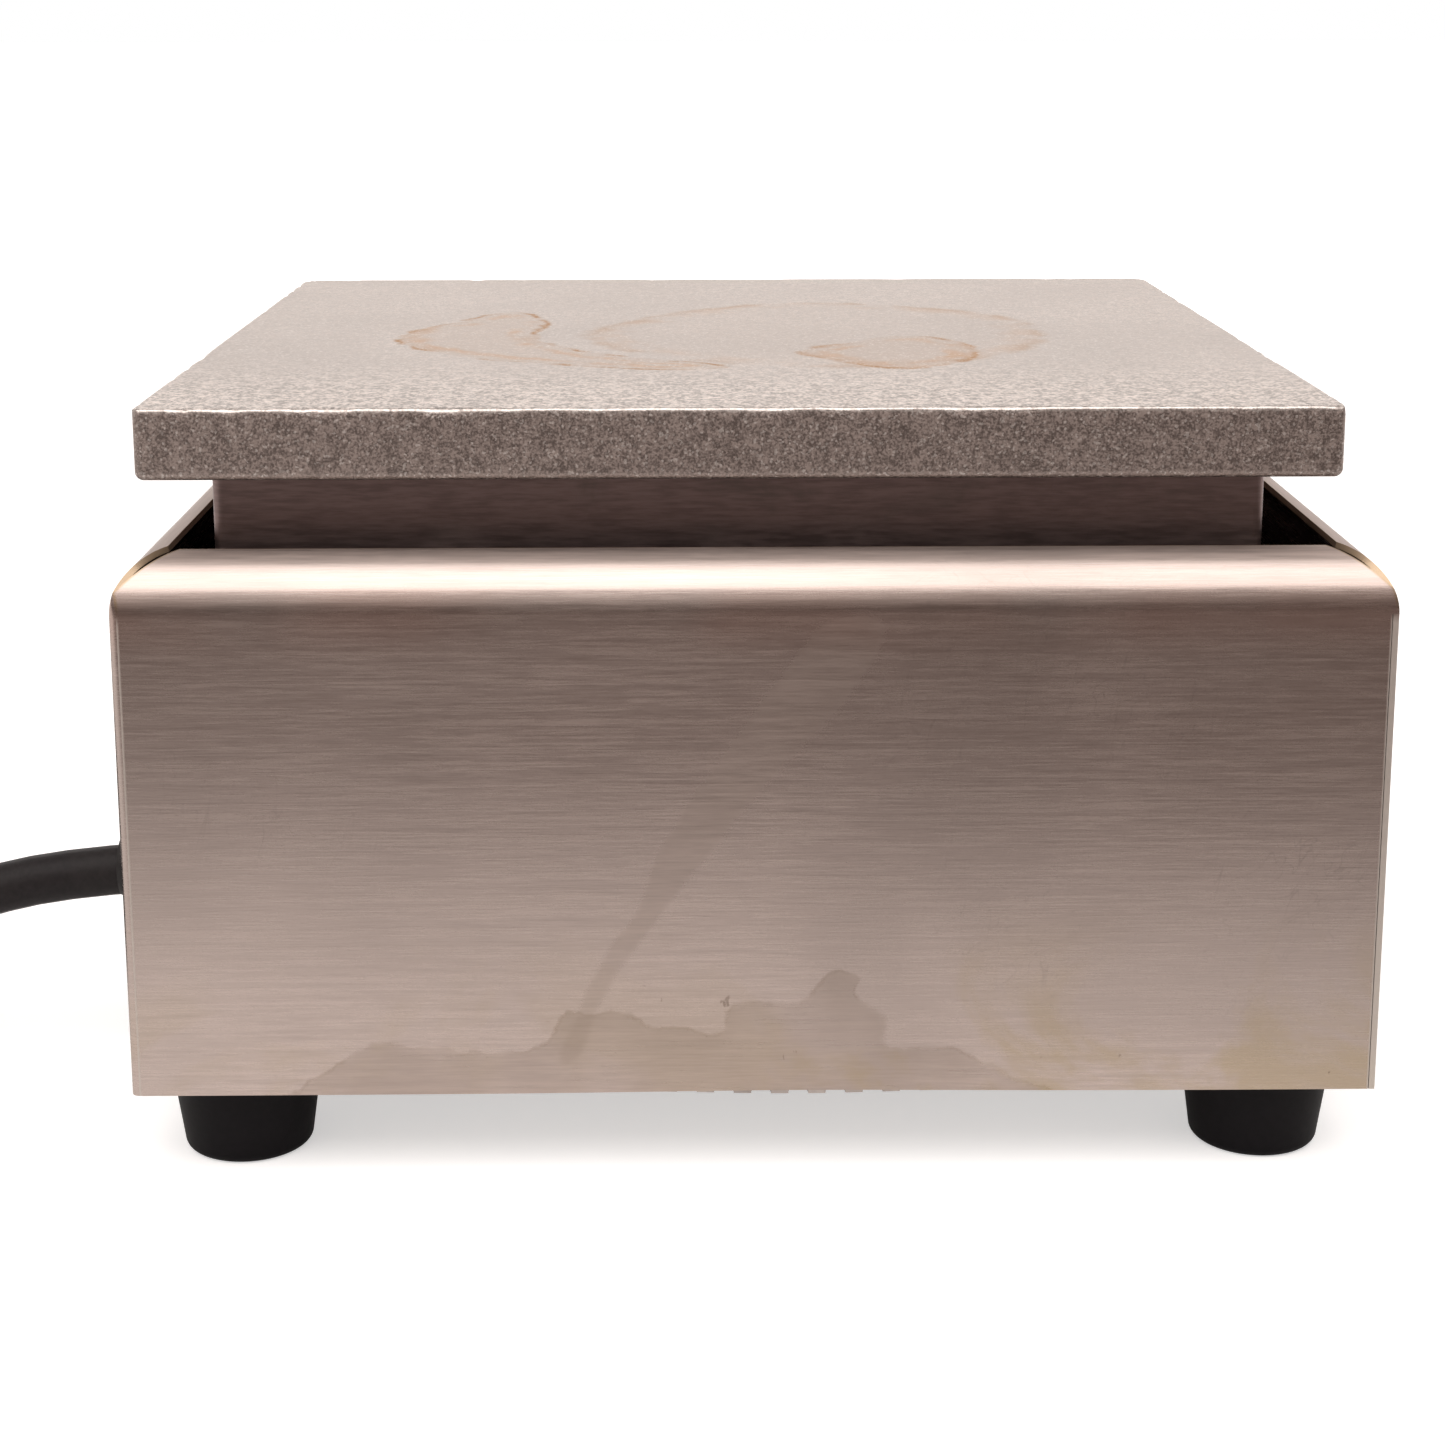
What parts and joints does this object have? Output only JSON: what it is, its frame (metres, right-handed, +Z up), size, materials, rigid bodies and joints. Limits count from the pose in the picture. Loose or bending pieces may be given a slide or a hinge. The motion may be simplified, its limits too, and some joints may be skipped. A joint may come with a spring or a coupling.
{
  "type": "hot plate burner",
  "caption": "Square electric hot plate: thick cast metal top on a brushed sheet housing with rolled rims, rubber feet, a thermostat knob and a coiled cord.",
  "frame": {"origin": "on the surface that the feet stand on, under the middle of the object's box measured without its cord", "axes": "+Z up, +X out of the control panel, -X towards the cord's exit"},
  "size_m": [0.3593, 0.1795, 0.1056],
  "materials": {
    "cast_aluminium": "rough cast, heat stained",
    "sheath_steel": "dull oxidised sheath",
    "plain_steel": "mill finish",
    "ceramic_fibre": "matt fibre blanket",
    "riser_steel": "heat-darkened sheet",
    "brushed_housing": "brushed along its length",
    "brushed_panel": "brushed along its length",
    "tray_steel": "mill finish",
    "foot_rubber": "matt moulded rubber",
    "zinc_screw": "bright zinc",
    "dial_finish": "satin with black figures",
    "knob_phenolic": "polished black moulding",
    "pointer_white": "matt inlay",
    "black_steel": "black oxide",
    "brass_part": "bright",
    "dark_moulding": "dull moulding",
    "copper_part": "dull copper",
    "bezel_chrome": "polished",
    "amber_lens": "clear amber",
    "ceramic_block": "glazed ceramic",
    "lead_black": "sleeved wire",
    "lead_white": "sleeved wire",
    "lead_green": "sleeved wire",
    "cord_rubber_gland": "moulded",
    "cord_rubber": "matt jacket",
    "plug_rubber": "moulded"
  },
  "bodies": {
    "root": {"heating_plate": "cast_aluminium", "heating_element": "sheath_steel", "element_terminals": "plain_steel", "element_clamp_plate": "plain_steel", "insulation_pad": "ceramic_fibre", "insulation_pan": "plain_steel", "riser_shield": "riser_steel", "tie_studs": "plain_steel", "pan_nuts": "plain_steel", "support_pillars": "plain_steel", "base_nuts": "plain_steel", "housing_wrapper": "brushed_housing", "control_panel": "brushed_panel", "base_tray": "tray_steel", "foot_rear_right": "foot_rubber", "foot_rear_left": "foot_rubber", "foot_front_right": "foot_rubber", "foot_front_left": "foot_rubber", "foot_screws": "zinc_screw", "foot_nuts": "zinc_screw", "rear_screws": "zinc_screw", "panel_screws": "zinc_screw", "dial_plate": "dial_finish", "thermostat_body": "dark_moulding", "thermostat_bracket": "plain_steel", "thermostat_screws": "zinc_screw", "thermostat_tabs": "brass_part", "sensor_bulb": "copper_part", "bulb_clip": "plain_steel", "capillary_tube": "copper_part", "pilot_bezel": "bezel_chrome", "pilot_lens": "amber_lens", "pilot_body": "dark_moulding", "pilot_clip": "black_steel", "terminal_block": "ceramic_block", "terminal_screws": "brass_part", "earth_screw": "brass_part", "lead_line_inlet": "lead_black", "lead_neutral_inlet": "lead_white", "lead_earth": "lead_green", "lead_line": "lead_black", "lead_neutral": "lead_white", "lead_load": "lead_black", "lead_lamp_neutral": "lead_white", "lead_lamp_load": "lead_black", "strain_relief": "cord_rubber_gland", "strain_relief_nut": "dark_moulding", "cord_tube": "cord_rubber", "cord_tail": "cord_rubber", "cord_coil": "cord_rubber", "plug_body": "plug_rubber", "plug_blades": "brass_part", "plug_earth_pin": "brass_part"},
    "knob": {"control_knob": "knob_phenolic", "knob_pointer": "pointer_white", "knob_set_screw": "black_steel", "thermostat_shaft": "brass_part"}
  },
  "joints": [
    {"name": "knob_turn", "type": "hinge", "parent": "root", "child": "knob", "pos_m": [0.0855, 0, 0.043], "axis": [-1, 0, 0], "range_deg": [0, 300]}
  ]
}
